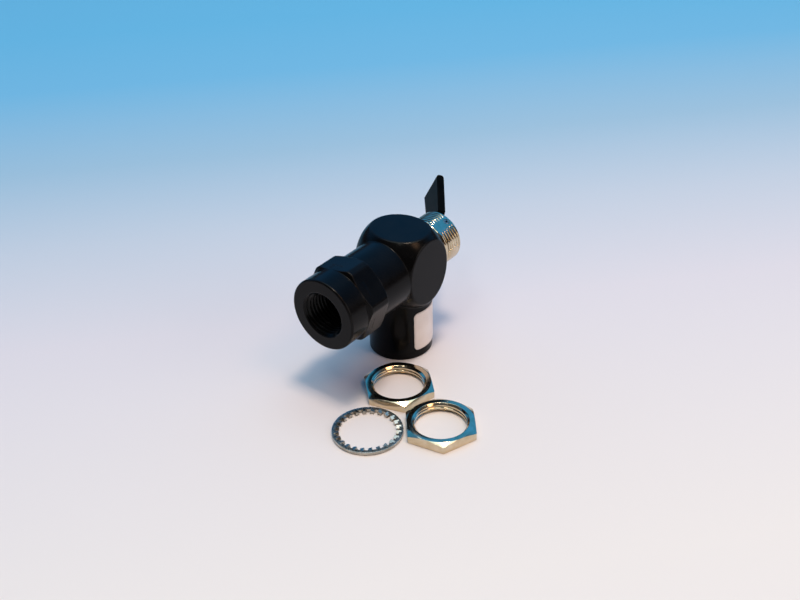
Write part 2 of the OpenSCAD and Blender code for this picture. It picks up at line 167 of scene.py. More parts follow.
def mouldedNylon():
    # Glass-filled nylon from an etched mould: satin black with a fine even texture.
    material, tree, place = newSurface("nylonBlackMoulded")
    etch = addNode(tree, "ShaderNodeTexNoise", {"Vector": place, "Scale": perSize(0.18), "Detail": 2})
    cloud = addNode(tree, "ShaderNodeTexNoise", {"Vector": place, "Scale": perSize(3), "Detail": 3})
    edge = addNode(tree, "ShaderNodeAttribute", attribute_name="edge")
    tone = addNode(tree, "ShaderNodeValToRGB", {"Fac": cloud.outputs[0]},
                   [(0.35, "#040505"), (0.7, "#090a0b")])
    polished = addNode(tree, "ShaderNodeMath", {0: edge.outputs["Fac"], 1: -0.1}, operation="MULTIPLY")
    gloss = addNode(tree, "ShaderNodeMapRange", {"Value": cloud.outputs[0], "To Min": 0.3, "To Max": 0.4})
    rough = addNode(tree, "ShaderNodeMath", {0: gloss.outputs[0], 1: polished.outputs[0]}, operation="ADD")
    bump = addNode(tree, "ShaderNodeBump", {"Height": etch.outputs[0], "Strength": 0.15, "Distance": 0.03 * mm})
    finishSurface(tree, {"Base Color": tone.outputs[0], "Roughness": rough.outputs[0], "Specular IOR Level": 0.02,
                         "Normal": bump.outputs[0]})
    return material


def labelFilm():
    # Matt white polyester film on adhesive: a faint pink cast, fine coating grain, soiled edges.
    material, tree, place = newSurface("polyesterFilmMatt")
    grain = addNode(tree, "ShaderNodeTexNoise", {"Vector": place, "Scale": perSize(0.3), "Detail": 3})
    soil = addNode(tree, "ShaderNodeTexNoise", {"Vector": place, "Scale": perSize(4), "Detail": 5})
    edge = addNode(tree, "ShaderNodeAttribute", attribute_name="edge")
    tone = addNode(tree, "ShaderNodeValToRGB", {"Fac": soil.outputs[0]},
                   [(0.3, "#eee2dc"), (0.62, "#f6ece7")])
    rub = addNode(tree, "ShaderNodeMath", {0: edge.outputs["Fac"], 1: soil.outputs[0]}, operation="MULTIPLY")
    worn = addNode(tree, "ShaderNodeMix", {"Factor": rub.outputs[0], 6: tone.outputs[0], 7: hexColour("#b7aaa3")},
                   data_type="RGBA")
    gloss = addNode(tree, "ShaderNodeMapRange", {"Value": grain.outputs[0], "To Min": 0.45, "To Max": 0.6})
    bump = addNode(tree, "ShaderNodeBump", {"Height": grain.outputs[0], "Strength": 0.08, "Distance": 0.02 * mm})
    finishSurface(tree, {"Base Color": worn.outputs[2], "Roughness": gloss.outputs[0], "Normal": bump.outputs[0]})
    return material


blackAnodised = anodisedAluminium()
# bright nickel over brass: warm grey mirror, slightly clouded by handling
nickelPlate = platedMetal("nickelPlatedBrass", "#dccfb8", "#c6b595", 0.09, 0.16, 0.25, (1, 1, 1), 0.06)
# drawn steel: fine lines along the bar
drawnSteel = platedMetal("steelDrawnBright", "#b9b8b5", "#9d9c99", 0.2, 0.34, 0.2, (0.1, 1, 1), 0.1)
# spring steel, blanked and zinc plated: dull, mottled
zincSteel = platedMetal("steelBlankedZinc", "#bdbab2", "#99958b", 0.22, 0.38, 0.3, (1, 1, 1), 0.12)
# free-cutting brass as it leaves the lathe
turnedBrass = platedMetal("brassTurned", "#d2b06a", "#b48f49", 0.2, 0.33, 0.25, (1, 0.1, 0.1), 0.1)
sealRubber = nitrileRubber()
leverNylon = mouldedNylon()
paperFilm = labelFilm()
print("materials ready")


# Mesh makers that several pieces share
def addPiece(name, mesh, material, body, node):
    piece = bpy.data.objects.new(name, mesh)
    scene.collection.objects.link(piece)
    mesh.materials.clear()
    mesh.materials.append(material)
    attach(piece, body)
    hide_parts(node)
    print("piece", name, len(mesh.polygons), "faces")
    return piece


def meet(a, b, r):  # both solids at once, the outer edge rounded to r
    return np.minimum(-r, np.maximum(a, b)) + np.hypot(np.maximum(r + a, 0), np.maximum(r + b, 0))


def join(a, b, r):  # either solid, the inner corner filleted to r
    return np.maximum(r, np.minimum(a, b)) - np.hypot(np.maximum(r - a, 0), np.maximum(r - b, 0))


def bar(across, along, radius, start, end, r=0.0):
    rod = across - radius
    ends = np.maximum(start - along, along - end)
    return meet(rod, ends, r) if r else np.maximum(rod, ends)


def tapped(across, along, turn, size):
    # bore with a bevelled mouth at along = 0 and a thread cut outwards from its wall
    phase = along / size["pitch"] - turn / (2 * math.pi)
    zigzag = np.abs(phase - np.round(phase)) * 2
    flank = np.clip(zigzag * 1.3 - 0.15, 0, 1)      # leaves narrow flats at crest and root
    fade = np.clip((size["depth"] - along) / size["pitch"], 0, 1)
    wall = across - size["radius"] - size["threadDepth"] * flank * fade
    mouth = (across - size["mouthRadius"] + along) * math.sqrt(0.5)
    return np.maximum(np.minimum(wall, mouth), along - size["depth"])


def outlineDistance(x, y, corners):
    # signed distance to a closed outline, below zero inside
    best = np.full(x.shape, np.inf)
    inside = np.zeros(x.shape, bool)
    for (ax, ay), (bx, by) in zip(corners, corners[1:] + corners[:1]):
        ex, ey = bx - ax, by - ay
        t = np.clip(((x - ax) * ex + (y - ay) * ey) / (ex * ex + ey * ey), 0, 1)
        best = np.minimum(best, np.hypot(x - ax - t * ex, y - ay - t * ey))
        if ey:
            inside ^= ((ay > y) != (by > y)) & (x < ax + (y - ay) * ex / ey)
    return np.where(inside, -best, best)


def meshFromDistance(name, distance, sizes, matrix=Matrix()):
    # one vertex in each grid cell that the surface crosses, then settled on the surface
    low, high, cell = sizes["low"], sizes["high"], sizes["cell"]
    axes = [np.arange(low[k], high[k] + cell, cell) for k in range(3)]
    grid = np.stack(np.meshgrid(*axes, indexing="ij"), -1)
    field = distance(grid.reshape(-1, 3)).reshape(grid.shape[:3])
    inside = field < 0
    corner = np.array([[i, j, k] for i in (0, 1) for j in (0, 1) for k in (0, 1)])
    size = np.array(inside.shape) - 1
    filled = sum(inside[i:i + size[0], j:j + size[1], k:k + size[2]].astype(np.int8) for i, j, k in corner)
    cells = np.argwhere((filled > 0) & (filled < 8))
    number = np.full(filled.shape, -1)
    number[tuple(cells.T)] = np.arange(len(cells))
    total, count = np.zeros((len(cells), 3)), np.zeros(len(cells))
    for a in range(8):
        for axis, step in enumerate((4, 2, 1)):
            if corner[a][axis]:
                continue
            fa = field[tuple((cells + corner[a]).T)]
            fb = field[tuple((cells + corner[a + step]).T)]
            cross = (fa < 0) != (fb < 0)
            t = np.where(cross, fa / np.where(cross, fa - fb, 1), 0)
            total += cross[:, None] * (cells + corner[a] + t[:, None] * (corner[a + step] - corner[a]))
            count += cross
    points = np.array(low) + cell * total / count[:, None]
    quads = []
    for axis in range(3):
        near, far = [slice(None)] * 3, [slice(None)] * 3
        near[axis], far[axis] = slice(0, -1), slice(1, None)
        edges = np.argwhere(inside[tuple(near)] != inside[tuple(far)])
        eu, ev = np.eye(3, dtype=int)[(axis + 1) % 3], np.eye(3, dtype=int)[(axis + 2) % 3]
        quad = np.stack([number[tuple(c.T)] for c in (edges - eu - ev, edges - ev, edges, edges - eu)], 1)
        facesBack = ~inside[tuple(edges.T)]
        quad[facesBack] = quad[facesBack][:, ::-1]
        quads.append(quad)
    probe = 0.15 * cell
    ways = np.concatenate([np.eye(3), -np.eye(3)])
    shift = ways * probe
    for _ in range(3):      # three steps down the slope are enough
        around = np.stack([distance(points + s) for s in shift])
        here = distance(points)
        slope = (around[:3] - around[3:]).T / (2 * probe)
        steep = np.maximum((slope ** 2).sum(1), 0.2)
        points = points - np.clip(here / steep, -cell / 2, cell / 2)[:, None] * slope
    normals = slope / np.linalg.norm(slope, axis=1)[:, None]
    # how sharply the surface bends over a quarter of a millimetre, kept for the worn edges
    wide = 0.25
    bend = sum(distance(points + wide * way) for way in ways) - 6 * distance(points)
    mesh = bpy.data.meshes.new(name)
    mesh.from_pydata(points, [], np.concatenate(quads))
    edge = np.clip(bend / wide - 0.25, 0, 1)
    mesh.attributes.new("edge", "FLOAT", "POINT").data.foreach_set("value", edge)
    mesh.transform(matrix)
    turn = np.array(matrix.to_3x3())
    mesh.shade_smooth()
    mesh.normals_split_custom_set_from_vertices(normals @ turn.T)
    mesh.transform(toMetres)
    return mesh


def easeCorners(outline, ease):
    # a closed (radius, height) outline with each corner rounded over the length ease
    eased = []
    for i, here in enumerate(outline):
        before, here, after = (np.array(outline[(i + k) % len(outline)], float) for k in (-1, 0, 1))
        back, ahead = before - here, after - here
        reach = min(ease, 0.4 * np.linalg.norm(back), 0.4 * np.linalg.norm(ahead))
        first = here + back / np.linalg.norm(back) * reach
        last = here + ahead / np.linalg.norm(ahead) * reach
        middle = 0.25 * first + 0.5 * here + 0.25 * last
        eased += [tuple(first), tuple(middle), tuple(last)]
    return eased


def faceOutwards(mesh):
    work = bmesh.new()
    work.from_mesh(mesh)
    bmesh.ops.recalc_face_normals(work, faces=work.faces)
    work.to_mesh(mesh)
    work.free()


def turnedRings(outline, around):
    # a ring of points about Z for each (radius, height) of an outline
    angle = np.linspace(0, 2 * math.pi, around, endpoint=False)
    return [np.stack([r * np.cos(angle), r * np.sin(angle), np.full(around, h)], 1) for r, h in outline]


def ringMesh(name, rings, threaded):
    # a closed band of quads from rings of points, all with the same count, joined end to start
    rings = np.array(rings)
    m, n = rings.shape[:2]
    i, j = np.meshgrid(np.arange(m), np.arange(n), indexing="ij")
    here = (i * n + j, ((i + 1) % m) * n + j, ((i + 1) % m) * n + (j + 1) % n, i * n + (j + 1) % n)
    mesh = bpy.data.meshes.new(name)
    mesh.from_pydata(rings.reshape(-1, 3), [], np.stack(here, -1).reshape(-1, 4))
    marks = np.repeat(threaded, n).astype(np.float32)
    mesh.attributes.new("threaded", "FLOAT", "POINT").data.foreach_set("value", marks)
    faceOutwards(mesh)
    return mesh


def newTree(name, sockets):
    tree = bpy.data.node_groups.new(name, "GeometryNodeTree")
    for label, kind in sockets:
        tree.interface.new_socket(label, in_out="INPUT", socket_type="NodeSocket" + kind)
    tree.interface.new_socket("Geometry", in_out="OUTPUT", socket_type="NodeSocketGeometry")
    return tree, addNode(tree, "NodeGroupInput").outputs


def closeTree(tree, geometry, finish):
    whole = addNode(tree, "GeometryNodeRealizeInstances", {"Geometry": geometry})
    dressed = addNode(tree, "GeometryNodeSetMaterial", {"Geometry": whole.outputs[0], "Material": finish})
    addNode(tree, "NodeGroupOutput", {"Geometry": dressed.outputs[0]})


def growMesh(name, mesh, tree, values, matrix, cutter=None, sharpAngle=35):
    # runs a node tree on a mesh, cuts a hole where asked, and returns a plain mesh in its place
    work = bpy.data.objects.new(name, mesh)
    scene.collection.objects.link(work)
    modifier = work.modifiers.new("rule", "NODES")
    modifier.node_group = tree
    sockets = {s.name: s.identifier for s in tree.interface.items_tree if s.in_out == "INPUT"}
    for label, value in values.items():
        modifier[sockets[label]] = value
    if cutter:
        hole = work.modifiers.new("hole", "BOOLEAN")
        hole.operation, hole.solver, hole.object = "DIFFERENCE", "EXACT", cutter
    grown = bpy.data.meshes.new_from_object(work.evaluated_get(bpy.context.evaluated_depsgraph_get()))
    work.modifiers.clear()
    work.data = grown
    grown.shade_smooth()
    grown.set_sharp_from_angle(angle=math.radians(sharpAngle))
    weigh = work.modifiers.new("weigh", "WEIGHTED_NORMAL")
    weigh.keep_sharp = True
    final = bpy.data.meshes.new_from_object(work.evaluated_get(bpy.context.evaluated_depsgraph_get()))
    final.name = name
    final.transform(toMetres @ matrix)
    bpy.data.objects.remove(work)
    return final


def threadTree():
    # thread cut by rule: each marked point moves in or out with its height and its turn about Z
    tree, given = newTree("cutThread", [("Geometry", "Geometry"), ("Pitch", "Float"), ("Depth", "Float"),
                                        ("Crest", "Float"), ("Root", "Float"), ("Flat Way", "Vector"),
                                        ("Flat Reach", "Float"), ("Finish", "Material")])
    spot = addNode(tree, "GeometryNodeInputPosition").outputs[0]
    parts = addNode(tree, "ShaderNodeSeparateXYZ", {"Vector": spot}).outputs
    swing = addNode(tree, "ShaderNodeMath", {0: parts["Y"], 1: parts["X"]}, operation="ARCTAN2")
    turns = addNode(tree, "ShaderNodeMath", {0: swing.outputs[0], 1: 2 * math.pi}, operation="DIVIDE")
    climb = addNode(tree, "ShaderNodeMath", {0: parts["Z"], 1: given["Pitch"]}, operation="DIVIDE")
    phase = addNode(tree, "ShaderNodeMath", {0: climb.outputs[0], 1: turns.outputs[0]}, operation="SUBTRACT")
    zigzag = addNode(tree, "ShaderNodeMath", {0: phase.outputs[0], 1: 0.5}, operation="PINGPONG")
    flank = addNode(tree, "ShaderNodeMapRange", {"Value": zigzag.outputs[0], "From Min": given["Crest"],
                                                 "From Max": given["Root"]})
    marked = addNode(tree, "GeometryNodeInputNamedAttribute", {"Name": "threaded"}, data_type="FLOAT")
    share = addNode(tree, "ShaderNodeMath", {0: flank.outputs[0], 1: marked.outputs[0]}, operation="MULTIPLY")
    push = addNode(tree, "ShaderNodeMath", {0: share.outputs[0], 1: given["Depth"]}, operation="MULTIPLY")
    level = addNode(tree, "ShaderNodeVectorMath", {0: spot, 1: (1, 1, 0)}, operation="MULTIPLY")
    outward = addNode(tree, "ShaderNodeVectorMath", {0: level.outputs[0]}, operation="NORMALIZE")
    offset = addNode(tree, "ShaderNodeVectorMath", {0: outward.outputs[0], "Scale": push.outputs[0]},
                     operation="SCALE")
    moved = addNode(tree, "GeometryNodeSetPosition", {"Geometry": given["Geometry"], "Offset": offset.outputs[0]})
    # a flat on both sides: no point reaches further than this along the given way
    reach = addNode(tree, "ShaderNodeVectorMath", {0: spot, 1: given["Flat Way"]}, operation="DOT_PRODUCT")
    lowest = addNode(tree, "ShaderNodeMath", {0: given["Flat Reach"], 1: -1.0}, operation="MULTIPLY")
    held = addNode(tree, "ShaderNodeClamp", {"Value": reach.outputs["Value"], "Min": lowest.outputs[0],
                                             "Max": given["Flat Reach"]})
    back = addNode(tree, "ShaderNodeMath", {0: held.outputs[0], 1: reach.outputs["Value"]}, operation="SUBTRACT")
    inward = addNode(tree, "ShaderNodeVectorMath", {0: given["Flat Way"], "Scale": back.outputs[0]},
                     operation="SCALE")
    milled = addNode(tree, "GeometryNodeSetPosition", {"Geometry": moved.outputs[0], "Offset": inward.outputs[0]})
    closeTree(tree, milled.outputs[0], given["Finish"])
    return tree


cutThread = threadTree()


# Body: ball, barrel and boss as one rounded solid, less its bores
bodySizes = {"ballRadius": 11, "ballRound": 8.454, "ballX": 0.65, "topFlat": 8.6, "sideFlat": 7.9, "rearFace": 8.2,
             "barrelRadius": 7.85, "barrelLength": 14.3, "bossRadius": 7.2, "edgeRound": 0.2,
             "fillet": 0.25, "crease": 0.08, "barrelRoot": -5, "passageRadius": 2.2,
             # bores along the valve axis: radius, start, end
             "gallery": (3.2, -7, 2), "bushingSocket": (5.02, 2, 20), "capSocket": (6.02, -30, -7),
             "cell": 0.21, "low": (-15, -11.2, -0.6), "high": (9, 11.2, 31)}
portThread = {"radius": 4.375, "mouthRadius": 5.25, "pitch": 0.94, "threadDepth": 0.5, "depth": 8.5}


def bodyDistance(p):
    s = bodySizes
    x, y, z = p[:, 0], p[:, 1], p[:, 2] - axisHeight
    e, f = s["edgeRound"], s["fillet"]
    axial, upright = np.hypot(y, z), np.hypot(x, y)
    ball = np.hypot(axial - s["ballRadius"] + s["ballRound"], x - s["ballX"]) - s["ballRound"]
    for flat in (z - s["topFlat"], np.abs(y) - s["sideFlat"], x - s["rearFace"]):
        ball = meet(ball, flat, e)
    barrel = bar(axial, x, s["barrelRadius"], -s["barrelLength"], s["barrelRoot"], e)
    boss = bar(upright, p[:, 2], s["bossRadius"], 0, axisHeight, e)
    solid = join(join(ball, barrel, s["crease"]), boss, f)
    bores = [bar(axial, x, *s[name]) for name in ("gallery", "bushingSocket", "capSocket")]
    bores += [bar(upright, p[:, 2], s["passageRadius"], 0, axisHeight),
              tapped(upright, p[:, 2], np.arctan2(y, -x), portThread)]
    for bore in bores:
        solid = np.maximum(solid, -bore)
    return solid


bodyMesh = meshFromDistance("valveBody", bodyDistance, bodySizes)
addPiece("valveBody", bodyMesh, blackAnodised, "housing", "body")


# End cap: hexagon, nose and shank, with the inlet's thread
capSizes = {"noseFront": -25.8, "noseRadius": 8.15, "noseRound": 0.45, "hexFront": -20.6, "hexBack": -14.3,
            "hexAcross": 16.2, "turnedRadius": 9, "hexTurn": 20, "bevelAngle": 30, "edgeRound": 0.14,
            "noseRoot": 2, "threadRound": 0.06, "sealGroove": (5, -13.4, -12.2),
            # along the valve axis: radius, start, end
            "shank": (6, -20, -9.5), "chamber": (4.2, -18.3, 0), "webHole": (2, -24, -10),
            "cell": 0.17, "low": (-26.4, -9.6, axisHeight - 9.6), "high": (-9, 9.6, axisHeight + 9.6)}
inletThread = dict(portThread, depth=6.5)


def capDistance(p):
    s = capSizes
    x, y, z = p[:, 0], p[:, 1], p[:, 2] - axisHeight
    axial = np.hypot(y, z)
    e = s["edgeRound"]
    half = s["hexAcross"] / 2
    hexagon = meet(axial - s["turnedRadius"], np.maximum(s["hexFront"] - x, x - s["hexBack"]), e)
    for k in range(6):
        a = math.radians(s["hexTurn"] + 30 + 60 * k)
        hexagon = meet(hexagon, y * math.sin(a) - z * math.cos(a) - half, e)
    lean = math.radians(s["bevelAngle"])
    for depth in (x - s["hexFront"], s["hexBack"] - x):
        hexagon = meet(hexagon, (axial - half) * math.sin(lean) - depth * math.cos(lean), e)
    nose = meet(axial - s["noseRadius"], s["noseFront"] - x, s["noseRound"])
    nose = np.maximum(nose, x - s["hexFront"] - s["noseRoot"])
    shank = bar(axial, x, *s["shank"], e)
    solid = join(join(hexagon, nose, e), shank, e)
    grooveFloor, grooveStart, grooveEnd = s["sealGroove"]
    groove = np.maximum(np.maximum(grooveStart - x, x - grooveEnd), grooveFloor - axial)
    for bore in (bar(axial, x, *s["chamber"]), bar(axial, x, *s["webHole"]), groove):
        solid = np.maximum(solid, -bore)
    inlet = tapped(axial, x - s["noseFront"], np.arctan2(y, z), inletThread)
    return meet(solid, -inlet, s["threadRound"])


capMesh = meshFromDistance("endCap", capDistance, capSizes)
addPiece("endCap", capMesh, blackAnodised, "housing", "end_cap")


# Lever: a flat paddle on a cam hub, in the pivot's own frame
leverSizes = {"length": 15.9, "endWidth": 8.2, "rootWidth": 7.2, "thickness": 1.8, "hubWidth": 4,
              "neck": 3.44, "flare": 5.04, "tipRound": 0.72, "edgeRound": 0.22, "fillet": 0.35,
              "camRadius": 1.9, "camLift": 1.6, "camSteps": 18, "heelAngle": 310, "pinHole": 0.75,
              "hubRound": 0.12, "overrun": (2, 0.09), "cell": 0.13, "low": (-4, -4.2, -4.6), "high": (16.4, 4.2, 4.6)}


def camOutline():
    s = leverSizes
    span = math.radians(2 * leverAngle)
    slope = s["camLift"] / span
    points = []
    for i in range(s["camSteps"] + 1):
        a = math.pi - math.radians(leverAngle) + span * i / s["camSteps"]
        reach = s["camRadius"] + s["camLift"] * i / s["camSteps"]
        points.append((reach * math.cos(a) - slope * math.sin(a), reach * math.sin(a) + slope * math.cos(a)))
    heel = math.radians(s["heelAngle"])
    return points + [(s["camRadius"] * math.cos(heel), s["camRadius"] * math.sin(heel)), (0, 0)]


def paddleOutline():
    # runs on past the tip, where the rounded slab ends it
    s = leverSizes
    further, wider = s["overrun"]
    half = [(0, s["hubWidth"] / 2), (s["neck"], s["hubWidth"] / 2), (s["flare"], s["rootWidth"] / 2),
            (s["length"] + further, s["endWidth"] / 2 + wider)]
    return [(u, -w) for u, w in half] + half[::-1]


camPoints, paddleFace = camOutline(), paddleOutline()


def leverDistance(p):
    s = leverSizes
    u, v, w = p.T
    slab = meet(np.abs(v) - s["thickness"] / 2, u - s["length"], s["tipRound"])
    paddle = meet(outlineDistance(u, w, paddleFace), slab, s["edgeRound"])
    cam = np.minimum(np.hypot(u, v) - s["camRadius"], outlineDistance(u, v, camPoints))
    hub = meet(cam, np.abs(w) - s["hubWidth"] / 2, s["hubRound"])
    return np.maximum(join(paddle, hub, s["fillet"]), s["pinHole"] - np.hypot(u, v))


leverMesh = meshFromDistance("toggleLever", leverDistance, leverSizes, atLever)
addPiece("toggleLever", leverMesh, leverNylon, "lever", "toggle_lever")


# Bushing with its panel thread and the flats at the pin's ends
panelThread = {"pitch": 0.794, "depth": 0.28, "crest": 0.25, "root": 0.47, "perPitch": 12, "fade": 0.35}
bushingSizes = {"guideRadius": 2.05, "innerEnd": 2, "shankRadius": 5, "seat": 8.2, "reliefRadius": 5.35,
                "reliefEnd": 9.2, "threadRadius": 5.95, "end": 15.3, "bevel": 0.4, "cavityRadius": 4.4,
                "cavityFloor": 9.2, "grooveRadius": 4, "groove": (6.1, 7.3), "ease": 0.08, "around": 192,
                "pinHoleRadius": 0.72, "pinFlat": 5.56, "sharpAngle": 8, "drillSides": 40, "drillLength": 20}


def threadHeights(start, end):
    count = int(round(abs(end - start) / panelThread["pitch"] * panelThread["perPitch"]))
    return np.linspace(start, end, count + 1)


def threadValues(depth):
    t = panelThread
    return {"Pitch": t["pitch"], "Depth": depth, "Crest": t["crest"], "Root": t["root"], "Finish": nickelPlate}


def bushingPiece():
    s = bushingSizes
    runOut = s["reliefEnd"] + s["threadRadius"] - s["reliefRadius"]
    crest = s["end"] - s["bevel"]
    r0, r1 = s["grooveRadius"], s["shankRadius"]
    before = [(s["guideRadius"], s["innerEnd"]), (r1, s["innerEnd"]), (r1, s["groove"][0]), (r0, s["groove"][0]),
              (r0, s["groove"][1]), (r1, s["groove"][1]), (r1, s["seat"]), (s["reliefRadius"], s["seat"]),
              (s["reliefRadius"], s["reliefEnd"]), (s["threadRadius"], runOut)]
    after = [(s["threadRadius"], crest), (s["threadRadius"] - s["bevel"], s["end"]), (s["cavityRadius"], s["end"]),
             (s["cavityRadius"], s["cavityFloor"]), (s["guideRadius"], s["cavityFloor"])]
    eased = easeCorners(before + after, s["ease"])
    split = 3 * len(before)
    heights = threadHeights(eased[split - 1][1], eased[split][1])[1:-1]
    outline = np.array(eased[:split] + [(s["threadRadius"], h) for h in heights] + eased[split:])
    marks = np.zeros(len(outline))
    fade = np.minimum(heights - runOut, crest - heights) / panelThread["fade"]
    marks[split:split + len(heights)] = np.clip(fade, 0, 1)
    rings = turnedRings(outline, s["around"])
    mesh = ringMesh("bushing", rings, marks)
    drill = bpy.data.meshes.new("drill")
    work = bmesh.new()
    bmesh.ops.create_cone(work, cap_ends=True, segments=s["drillSides"], radius1=s["pinHoleRadius"],
                          radius2=s["pinHoleRadius"], depth=s["drillLength"])
    work.to_mesh(drill)
    work.free()
    pinPlace = alongValve.inverted() @ atLever
    drill.transform(pinPlace)
    cutter = bpy.data.objects.new("drill", drill)
    scene.collection.objects.link(cutter)
    values = threadValues(-panelThread["depth"])
    values.update({"Flat Way": tuple(pinPlace.to_3x3().col[2]), "Flat Reach": s["pinFlat"]})
    grown = growMesh("bushing", mesh, cutThread, values, alongValve, cutter, s["sharpAngle"])
    bpy.data.objects.remove(cutter)
    return addPiece("threadedBushing", grown, nickelPlate, "housing", "bushing")


bushingPiece()


# Panel nuts
nutSizes = {"across": 14.3, "thick": 2.2, "boreRadius": 5.55, "mouth": 0.42, "bevelAngle": 30, "ease": 0.07,
            "cornerTurned": 0.07, "crownInset": 0.1, "perSide": 40}


def nutPiece(name, node, body, centre, turn):
    s = nutSizes
    half, e, top = s["across"] / 2, s["ease"], s["thick"]
    angle = np.linspace(0, 2 * math.pi, 6 * s["perSide"], endpoint=False)
    fold = np.mod(angle, math.pi / 3) - math.pi / 6
    side = np.minimum(half / np.cos(fold), half / math.cos(math.pi / 6) - s["cornerTurned"])
    crown = half - s["crownInset"]      # circle that the top bevel starts from
    shoulder = top - (side - crown) * math.tan(math.radians(s["bevelAngle"]))
    flat = np.full(len(angle), 1.0)
    mouth = s["boreRadius"] + s["mouth"]
    bore = threadHeights(top - s["mouth"], s["mouth"])
    # round the outside from the lower mouth to the upper one, with a few points to ease each corner
    outside = [(flat * (mouth + e), flat * 0), (side - e, flat * 0), (side - 0.3 * e, flat * 0.3 * e),
               (side, flat * e), (side, shoulder - e), (side - 0.3 * e, shoulder + 0.1 * e),
               (side - e, shoulder + e * 0.58), (flat * (crown + e), flat * (top - 0.58 * e)),
               (flat * (crown - e), flat * top), (flat * (mouth + e), flat * top),
               (flat * mouth, flat * (top - 0.4 * e))]
    threaded = [(flat * s["boreRadius"], flat * h) for h in bore]
    stations = outside + threaded + [(flat * mouth, flat * 0.4 * e)]
    marks = np.zeros(len(stations))
    marks[len(outside):-1] = 1
    rings = [np.stack([r * np.cos(angle), r * np.sin(angle), h], 1) for r, h in stations]
    place = Matrix.Translation((centre[0], centre[1], 0)) @ Matrix.Rotation(math.radians(turn), 4, "Z")
    values = threadValues(panelThread["depth"])
    grown = growMesh(name, ringMesh(name, rings, marks), cutThread, values, place)
    return addPiece(name, grown, nickelPlate, body, node)


def nodeCentre(node):
    low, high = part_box(node)
    return [(low[k] + high[k]) / 2 / mm for k in range(3)]


# turned by these degrees as they lie
nutPiece("panelNutInner", "panel_nut_inner", "inner_nut", nodeCentre("panel_nut_inner"), -13)
nutPiece("panelNutOuter", "panel_nut_outer", "outer_nut", nodeCentre("panel_nut_outer"), -19.5)


# Lock washer: teeth repeated round a flat rim
washerSizes = {"radius": 7.5, "rim": 0.85, "thick": 0.7, "teeth": 24, "tipRadius": 6, "toothWidth": 0.82,
               "twist": 18, "ease": 0.09, "around": 192}


def toothedTree():
    tree, given = newTree("toothedRing", [("Geometry", "Geometry"), ("Teeth", "Int"), ("Tip Radius", "Float"),
                                          ("Tooth Size", "Vector"), ("Twist", "Float"), ("Finish", "Material")])
    plate = addNode(tree, "GeometryNodeMeshCube", {"Size": given["Tooth Size"]})
    size = addNode(tree, "ShaderNodeSeparateXYZ", {"Vector": given["Tooth Size"]})
    halfLength = addNode(tree, "ShaderNodeMath", {0: size.outputs["X"], 1: 0.5}, operation="MULTIPLY")
    reach = addNode(tree, "ShaderNodeMath", {0: halfLength.outputs[0], 1: given["Tip Radius"]}, operation="ADD")
    lift = addNode(tree, "ShaderNodeMath", {0: size.outputs["Z"], 1: 0.5}, operation="MULTIPLY")
    spot = addNode(tree, "ShaderNodeCombineXYZ", {"X": reach.outputs[0], "Z": lift.outputs[0]})
    lean = addNode(tree, "ShaderNodeCombineXYZ", {"X": given["Twist"]})
    tooth = addNode(tree, "GeometryNodeTransform", {"Geometry": plate.outputs[0], "Translation": spot.outputs[0],
                                                    "Rotation": lean.outputs[0]})
    points = addNode(tree, "GeometryNodePoints", {"Count": given["Teeth"]})
    index = addNode(tree, "GeometryNodeInputIndex")
    step = addNode(tree, "ShaderNodeMath", {0: 2 * math.pi, 1: given["Teeth"]}, operation="DIVIDE")
    swing = addNode(tree, "ShaderNodeMath", {0: index.outputs[0], 1: step.outputs[0]}, operation="MULTIPLY")
    facing = addNode(tree, "ShaderNodeCombineXYZ", {"Z": swing.outputs[0]})
    teeth = addNode(tree, "GeometryNodeInstanceOnPoints", {"Points": points.outputs[0], "Instance": tooth.outputs[0],
                                                           "Rotation": facing.outputs[0]})
    loose = addNode(tree, "GeometryNodeRealizeInstances", {"Geometry": teeth.outputs[0]})
    union = addNode(tree, "GeometryNodeMeshBoolean", operation="UNION", solver="EXACT")
    for part in (given["Geometry"], loose.outputs[0]):
        tree.links.new(part, union.inputs["Mesh 2"])
    closeTree(tree, union.outputs[0], given["Finish"])
    return tree


toothedRing = toothedTree()


def washerPiece():
    s = washerSizes
    inner = s["radius"] - s["rim"]
    outline = easeCorners([(inner, 0), (s["radius"], 0), (s["radius"], s["thick"]), (inner, s["thick"])], s["ease"])
    rings = turnedRings(outline, s["around"])
    centre = nodeCentre("lock_washer")
    toothLength = inner - s["tipRadius"] + s["rim"] / 2
    # a twisted tooth reaches this far below the rim, so the washer rests on its teeth
    drop = s["toothWidth"] / 2 * math.sin(math.radians(s["twist"]))
    drop -= s["thick"] / 2 * (1 - math.cos(math.radians(s["twist"])))
    values = {"Teeth": s["teeth"], "Tip Radius": s["tipRadius"], "Twist": math.radians(s["twist"]),
              "Tooth Size": (toothLength, s["toothWidth"], s["thick"]), "Finish": zincSteel}
    place = Matrix.Translation((centre[0], centre[1], max(0, drop)))
    rim = ringMesh("lockWasher", rings, np.zeros(len(rings)))
    grown = growMesh("lockWasher", rim, toothedRing, values, place)
    return addPiece("lockWasher", grown, zincSteel, "washer", "lock_washer")


washerPiece()


# Pivot pin, rolled from strip
pinSizes = {"radius": 0.7, "wall": 0.4, "slit": 0.2, "length": 11.1, "endBevel": 0.12, "around": 56}


